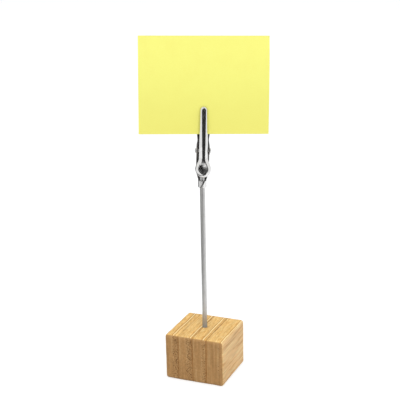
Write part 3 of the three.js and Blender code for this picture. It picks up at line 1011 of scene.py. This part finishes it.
def rear_half_width(z, inset):
    waist_z = (NOTE_SEAT + EAR_R) / 2
    if z > tip_z:
        return round_tip(z, inset)
    if z > NOTE_SEAT:
        return mix(REAR_ROOT_W / 2, tip_r, ramp(z, NOTE_SEAT, tip_z)) - inset
    if z > waist_z:
        return mix(REAR_WAIST_W / 2, REAR_ROOT_W / 2, smooth(z, waist_z, NOTE_SEAT)) - inset
    if z > EAR_R:
        return mix(REAR_W / 2, REAR_WAIST_W / 2, smooth(z, EAR_R, waist_z)) - inset
    tail_w = rod_r + CRIMP_FIT + SHEET
    return mix(REAR_W / 2, tail_w, ramp(-z, TAIL_START, -crimp_top)) - inset


def rear_from_rim(x, z, inset):
    if z > tip_z:
        return tip_r - inset - math.hypot(x, z - tip_z)
    return rear_half_width(z, inset) - abs(x)


def rear_ring(z):
    shift = max(z, 0.0) * math.tan(jaw_lean)
    edge = mix(MOUTH_GAP, JAW_DEPTH - TAIL_FLANGE, smooth(-z, 0, TAIL_CUTBACK))
    if z < -TAIL_START:
        edge = mix(edge, rod_offset, ramp(-z, TAIL_START, -crimp_top))
    wall = jaw_depth(z) - edge
    return channel_ring(
        z, 1, rear_half_width, rear_from_rim, jaw_depth(z) + shift, wall,
        with_ear(toothed(edge + shift, z), z), min(BEND_R, BEND_MOST * wall),
    )


def crimp_path(z, radius, wrap):
    """The sheet wrapped round the wire. Wrap goes from 0, half round, to 1, closed to the slanting seam."""
    seam_x = math.tan(math.radians(CRIMP_SEAM_DEG)) * (z - crimp_middle)
    seam_turn = math.asin(seam_x / (rod_r + CRIMP_FIT + CRIMP_SHEET))
    half_seam = (CRIMP_SEAM / 2 + LIP_R) / radius
    right = mix(math.pi / 2, math.pi - seam_turn - half_seam, wrap)
    left = mix(math.pi / 2, math.pi + seam_turn - half_seam, wrap)
    centre = -(z - crimp_middle) * math.tan(clip_tilt)
    turns = spread(right, -left, PATH_POINTS - 1)
    return [(centre + radius * math.sin(turn), rod_offset + radius * math.cos(turn)) for turn in turns]


def crimp_ring(z, wrap, trim=0.0):
    inner_r = rod_r + CRIMP_FIT
    outer = crimp_path(z, inner_r + CRIMP_SHEET - trim, wrap)
    return sheet_ring(z, outer, crimp_path(z, inner_r + trim, wrap), 1, LIP_R)


def make_rear_jaw(plate, plate_inside_painted_shade):
    folded, eased = crimp_top + CRIMP_FOLD, crimp_top + CRIMP_EASE
    rings = [crimp_ring(-TAIL_REACH, 1, LIP_R), crimp_ring(-TAIL_REACH + LIP_R / 3, 1, LIP_R / 3)]
    rings += [crimp_ring(z, 1) for z in spread(LIP_R - TAIL_REACH, crimp_top, CRIMP_STEPS)]
    for z in spread(crimp_top, folded, FOLD_STEPS)[1:]:
        rings.append(crimp_ring(z, 1 - smooth(z, crimp_top, folded)))
    for z in spread(folded, eased, EASE_STEPS)[1:-1]:
        share = smooth(z, folded, eased)
        rings.append([Vector(a).lerp(Vector(b), share) for a, b in zip(crimp_ring(z, 0), rear_ring(z))])
    tail = spread(eased, -TAIL_START, TAPER_STEPS) + spread(-TAIL_START, -EAR_R, TAIL_STEPS)
    rings += [rear_ring(z) for z in in_order(tail + jaw_heights())]
    bm = bmesh.new()
    rows = loft(bm, rings, shade_points=SHADE_PAINTED_POINTS)
    bm.faces.new(rows[0][::-1])
    rear = pressed_piece(bm, "rear_jaw_pressing", clip_place, plate, plate_inside_painted_shade)
    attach(rear, "stem")
    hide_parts("rear_jaw")


def make_rivet(material):
    """The hinge pin with a low dome on each end."""
    inside = REAR_W / 2 + RIVET_HEAD_GAP
    outside = inside + RIVET_HEAD_T
    half = [(RIVET_HEAD_R * math.sin(turn), outside - RIVET_RIM * 2 * (1 - math.cos(turn)))
            for turn in spread(0, math.pi / 2, DOME_STEPS)]
    half += [(RIVET_HEAD_R, inside + RIVET_RIM / 3), (RIVET_HEAD_R - RIVET_RIM / 3, inside), (PIN_R, inside)]
    bm = bmesh.new()
    lathe(bm, half + [(radius, -height) for radius, height in reversed(half)], PIN_SIDES, "X")
    rivet = finish_mesh(bm, "hinge_rivet", clip_place, material)
    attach(rivet, "stem")
    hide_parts("pivot_rivet")


LEG_TRIES = 12


def leg_lean(inner_face):
    """The slant at which a straight leg of the spring rests on the face inside a jaw."""
    reach = math.hypot(SPRING_LEG, SPRING_R)
    out = SPRING_R
    for _ in range(LEG_TRIES):
        out = inner_face(-math.sqrt(reach ** 2 - out ** 2)) - SPRING_WIRE / 2 - SPRING_SEAT_GAP
    return math.atan2(SPRING_LEG, SPRING_R) - math.acos(out / reach)


def make_spring(material):
    """Wire wound round the pin: one leg rests in the rear jaw and the other in the lever."""
    start = leg_lean(lambda z: jaw_depth(z) - SHEET)
    lever_lean = leg_lean(lambda z: lever_depth(z) - SHEET - thumb_dish(0, z))
    stop = math.pi * (1 + 2 * SPRING_TURNS) - jaw_lean - lever_lean
    coil = SPRING_R * (stop - start)

    def line(s):
        turn = mix(start, stop, min(max(s / coil, 0.0), 1.0))
        beyond = s if s < 0 else max(s - coil, 0.0)
        x = (turn - (start + stop) / 2) / (2 * math.pi) * SPRING_PITCH
        return Vector((x, SPRING_R * math.cos(turn) - beyond * math.sin(turn),
                       SPRING_R * math.sin(turn) + beyond * math.cos(turn)))

    path = [line(s) for s in spread(-SPRING_LEG, coil + SPRING_LEG, SPRING_STEPS)]
    last = len(path) - 1
    rings = []
    for k, point in enumerate(path):
        forward = (path[min(k + 1, last)] - path[max(k - 1, 0)]).normalized()
        side = forward.cross(Vector((1, 0, 0))).normalized()
        up = side.cross(forward)
        r = SPRING_WIRE / 2 * (SPRING_END_TAPER if k in (0, last) else 1.0)
        turns = full_turn(SPRING_SIDES)
        rings.append([point + (side * math.cos(turn) + up * math.sin(turn)) * r for turn in turns])
    bm = bmesh.new()
    loft(bm, rings, capped=True)
    spring = finish_mesh(bm, "closing_spring", clip_place, material)
    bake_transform(spring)
    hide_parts("torsion_spring")


def make_stem(material):
    low, high = rod_low.z / MM, rod_high.z / MM
    eased = ROD_CHAMFER * ROD_TOP_EASE
    profile = [(0, low), (rod_r - ROD_CHAMFER, low), (rod_r, low + ROD_CHAMFER)]
    profile += [(rod_r, z) for z in spread(low + ROD_CHAMFER, high - ROD_CHAMFER, STEM_STEPS)[1:]]
    profile += [(rod_r - eased, high - eased), (rod_r - ROD_CHAMFER, high), (0, high)]
    bm = bmesh.new()
    lathe(bm, profile, STEM_SIDES)
    stem = finish_mesh(bm, "wire_stem", Matrix.Identity(4), material)
    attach(stem, "stem")
    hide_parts("stem_rod")


# Note: its colours, and the paper's fibres, flecks and a lower part darkened by painted shade

PAPER = (0.93, 0.90, 0.215, 1)
# A deeper yellow, for the paper's own mottle and flecks and for the painted shade below
PAPER_DEEP_AND_SHADE = (0.88, 0.80, 0.17, 1)
PAPER_FIBRE = (0.97, 0.95, 0.30, 1)
PAPER_FIBRES = ((2.2, 1.0, 3.4), 4.0, 0.65)
PAPER_FLECKS = ((5.0, 1.0, 9.0), 2.0, 0.5)
PAPER_MOTTLE = (0.16, 3.0, 0.55)
# Painted shade towards the bottom: the heights in millimetres where it starts and is full, and how uneven it
# is
SHADE_PAINTED_BELOW = (34.0, 6.0)
SHADE_BELOW_UNEVEN = 10.0
MOTTLE_FADE = (0.35, 0.75)
FIBRE_FADE = (0.4, 0.75)
FLECK_FADE = (0.66, 0.74)
PAPER_ROUGH = (0.3, 0.7, 0.72, 0.88)
MOTTLE_RELIEF = 1.5
PAPER_RELIEF = 0.02


def paper_material():
    material, tree, shader = new_material("yellow_paper", Specular_IOR_Level=0.25)
    place = in_mm(tree)
    fibre = long_cloud(tree, place, *PAPER_FIBRES)
    mottle = cloud(tree, place, *PAPER_MOTTLE)
    flecks = long_cloud(tree, place, *PAPER_FLECKS)
    height = plus_part(tree, mottle, SHADE_BELOW_UNEVEN, axes_of(tree, place)[2])
    colour = layered(
        tree, PAPER,
        # Painted shade: the paper is painted deeper towards the bottom; the mottle and flecks are the paper's
        # own tone
        (fade(tree, height, *SHADE_PAINTED_BELOW), 0.55, PAPER_DEEP_AND_SHADE),
        (fade(tree, mottle, *MOTTLE_FADE), 0.22, PAPER_DEEP_AND_SHADE),
        (fade(tree, fibre, *FIBRE_FADE), 0.35, PAPER_FIBRE),
        (fade(tree, flecks, *FLECK_FADE), 0.12, PAPER_DEEP_AND_SHADE),
    )
    relief = plus_part(tree, mottle, MOTTLE_RELIEF, fibre)
    dress(tree, shader, colour, fade(tree, fibre, *PAPER_ROUGH), relief, PAPER_RELIEF)
    return material


def note_bend(across, z):
    """How far back the sheet lies: flat in the jaws, then curling, with a slight ripple in the free paper."""
    top = NOTE_SEAT + NOTE_H
    curl = NOTE_CURL * ramp(z, JAW_REACH, top) ** 2
    free = smooth(z, JAW_REACH, top) + smooth(abs(across), REAR_ROOT_W, NOTE_W / 2)
    ripple = noise.noise(Vector((across * RIPPLE_PER_MM, z * RIPPLE_PER_MM, RIPPLE_SEED)))
    return curl + NOTE_RIPPLE * free * ripple


def make_note():
    columns = spread(-NOTE_W / 2, NOTE_W / 2, NOTE_COLUMNS)
    rows = spread(NOTE_SEAT, NOTE_SEAT + NOTE_H, NOTE_ROWS)
    bm = bmesh.new()
    sides = []
    for half in (-NOTE_T / 2, NOTE_T / 2):
        sides.append([[bm.verts.new((x, note_bend(x, z) + half, z)) for x in columns] for z in rows])
    for grid in sides:
        for lower, upper in zip(grid, grid[1:]):
            for i in range(len(columns) - 1):
                bm.faces.new((lower[i], lower[i + 1], upper[i + 1], upper[i]))
    outlines = [(grid[0], grid[-1], [row[0] for row in grid], [row[-1] for row in grid]) for grid in sides]
    for near, far in zip(*outlines):
        for k in range(len(near) - 1):
            bm.faces.new((near[k], near[k + 1], far[k + 1], far[k]))
    skew = Matrix.Translation((NOTE_SHIFT * MM, 0, 0)) @ Matrix.Rotation(NOTE_SKEW, 4, "Y")
    note = finish_mesh(bm, "paper_note", grip_place @ skew, paper_material())
    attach(note, "note")
    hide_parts("memo_note")


# Stage: the camera, a white surround and floor, two lamps, and cards that only reflections see

IMAGE_PX = 400
FOCAL_PX = 969.4335
SENSOR_MM = 36
CAMERA_CLIP = (0.01, 20)
CAMERA_PLACE = Vector((143.4096, -343.9596, 183.0874)) * MM
CAMERA_AZIMUTH = math.radians(22.7931)
CAMERA_ELEVATION = math.radians(16.2419)
CAMERA_ROLL = math.radians(-1.0922)

WHITE = (1, 1, 1, 1)
BLACK = (0, 0, 0, 1)
SKY = (0.96, 0.98, 1.0, 1)
SKY_STRENGTH = 0.72
FLOOR = (0.5, 0.5, 0.5, 1)
FLOOR_GLOW = 0.62
FLOOR_REACH = 6000
FLOOR_SEGMENTS = 4

# Name, place and size in metres, and power in watts
LAMPS = (
    ("overhead_softbox", (0.1, -0.25, 1.1), 0.9, 4.1),
    ("front_softbox", (0.64, -0.92, 0.55), 0.7, 4.4),
)
LAMP_TARGET = Vector((0, 0, 0.06))

# Name, first and last degree round the clip, lowest and highest edge in millimetres, and grey
CARD_AWAY = 480
STANDING_CARDS = (
    ("front_card", 14, 56, 0, 165, 0.03),
    ("neck_card", 14, 54, 165, 230, 0.03),
    ("bridge_card", 26, 49, 230, 350, 0.01),
    ("thumb_card", 31, 49, 350, 490, 0.01),
    ("upper_card_right", 30, 50, 490, 950, 0.01),
    ("middle_card_left", 2, 30, 490, 580, 0.4),
    ("upper_card_left", 2, 30, 580, 950, 0.08),
    ("back_left_card", -172, -88, 0, 240, 0.05),
)

# Name, first and last degree round the block, nearest and farthest edge in millimetres, and grey
CARD_LIFT = 0.5
FLOOR_CARDS = (
    ("back_left_floor_card", -172, -88, 120, 480, 0.1),
    ("left_floor_card", -78, -2, 70, 280, 0.27),
    ("left_tail_floor_card", -78, -2, 310, 480, 0.5),
    ("front_floor_card", -2, 48, 110, 280, 0.57),
    ("clip_floor_card", -2, 62, 310, 480, 0.01),
)


def make_camera():
    camera = add_object("camera", bpy.data.cameras.new("camera"))
    a, e, r = CAMERA_AZIMUTH, CAMERA_ELEVATION, CAMERA_ROLL
    back = Vector((math.sin(a) * math.cos(e), -math.cos(a) * math.cos(e), math.sin(e)))
    right = Vector((math.cos(a), math.sin(a), 0))
    up = back.cross(right)
    axes = (math.cos(r) * right + math.sin(r) * up, -math.sin(r) * right + math.cos(r) * up, back)
    camera.matrix_world = Matrix.Translation(CAMERA_PLACE) @ Matrix(axes).transposed().to_4x4()
    camera.data.sensor_width = SENSOR_MM
    camera.data.lens = FOCAL_PX / IMAGE_PX * SENSOR_MM
    camera.data.clip_start, camera.data.clip_end = CAMERA_CLIP
    bpy.context.scene.camera = camera


def make_world():
    """A white surround for the camera and for reflections, and a softer one for light."""
    world = bpy.data.worlds.new("studio")
    bpy.context.scene.world = world
    world.use_nodes = True
    tree = world.node_tree
    tree.nodes.clear()
    path = add_node(tree, "ShaderNodeLightPath").outputs
    seen = larger(tree, path["Is Camera Ray"], path["Is Glossy Ray"])
    seen = larger(tree, seen, path["Is Transmission Ray"])
    light = add_node(tree, "ShaderNodeBackground", {"Color": SKY, "Strength": SKY_STRENGTH}).outputs[0]
    white = add_node(tree, "ShaderNodeBackground", {"Color": WHITE, "Strength": 1.0}).outputs[0]
    mixed = add_node(tree, "ShaderNodeMixShader", (seen, light, white)).outputs[0]
    add_node(tree, "ShaderNodeOutputWorld", (mixed,))


def make_floor():
    """A white floor that keeps the soft shadow."""
    bm = bmesh.new()
    bmesh.ops.create_grid(bm, x_segments=FLOOR_SEGMENTS, y_segments=FLOOR_SEGMENTS, size=FLOOR_REACH)
    floor = finish_mesh(bm, "floor", Matrix.Identity(4))
    material, tree, shader = new_material(
        "white_floor", Base_Color=FLOOR, Roughness=0.9, Specular_IOR_Level=0.1)
    path = add_node(tree, "ShaderNodeLightPath").outputs
    seen = larger(tree, path["Is Camera Ray"], path["Is Glossy Ray"])
    values = {"Color": WHITE, "Strength": times(tree, seen, FLOOR_GLOW)}
    glow = add_node(tree, "ShaderNodeEmission", values).outputs[0]
    both = add_node(tree, "ShaderNodeAddShader", (shader.outputs[0], glow)).outputs[0]
    fill(tree, tree.nodes["Material Output"].inputs["Surface"], both)
    floor.data.materials.append(material)


def make_lamp(name, place, size, power):
    """A square softbox that lights the object and is not seen in the metal."""
    lamp = add_object(name, bpy.data.lights.new(name, "AREA"))
    lamp.data.shape = "RECTANGLE"
    lamp.data.size = lamp.data.size_y = size
    lamp.data.energy = power
    lamp.location = place
    lamp.rotation_euler = (LAMP_TARGET - Vector(place)).to_track_quat("-Z", "Y").to_euler()
    lamp.visible_glossy = False


def make_card(name, edges, grey):
    """A card between two edges, which only reflections see."""
    bm = bmesh.new()
    near, far = [[bm.verts.new(point) for point in edge] for edge in edges]
    for k in range(CARD_STEPS):
        bm.faces.new((near[k], near[k + 1], far[k + 1], far[k]))
    material = new_material(
        name, Base_Color=BLACK, Roughness=1.0, Specular_IOR_Level=0.0,
        Emission_Color=(grey, grey, grey, 1), Emission_Strength=1.0)[0]
    card = finish_mesh(bm, name, Matrix.Identity(4), material)
    card.visible_camera = False
    card.visible_diffuse = False
    card.visible_shadow = False
    card.visible_transmission = False


def card_edge(first, last, away, z):
    turns = [math.radians(turn) for turn in spread(first, last, CARD_STEPS)]
    return [(away * math.sin(turn), -away * math.cos(turn), z) for turn in turns]


def make_cards():
    for name, first, last, low, high, grey in STANDING_CARDS:
        make_card(name, [card_edge(first, last, CARD_AWAY, z) for z in (low, high)], grey)
    for name, first, last, near, far, grey in FLOOR_CARDS:
        make_card(name, [card_edge(first, last, away, CARD_LIFT) for away in (near, far)], grey)


make_camera()
make_world()
make_floor()
for lamp_values in LAMPS:
    make_lamp(*lamp_values)
make_cards()
make_block()
metal_marks = handling_group()
nickel, steel_wire, nickel_painted_shade, spring_steel = [metal_material(metal_marks, *values) for values in METALS]
paint_foot_shade(steel_wire)
make_stem(steel_wire)
make_rear_jaw(nickel, nickel_painted_shade)
make_rivet(nickel)
make_spring(spring_steel)
make_lever(nickel, nickel_painted_shade)
make_note()

bpy.context.scene.view_settings.view_transform = "Standard"
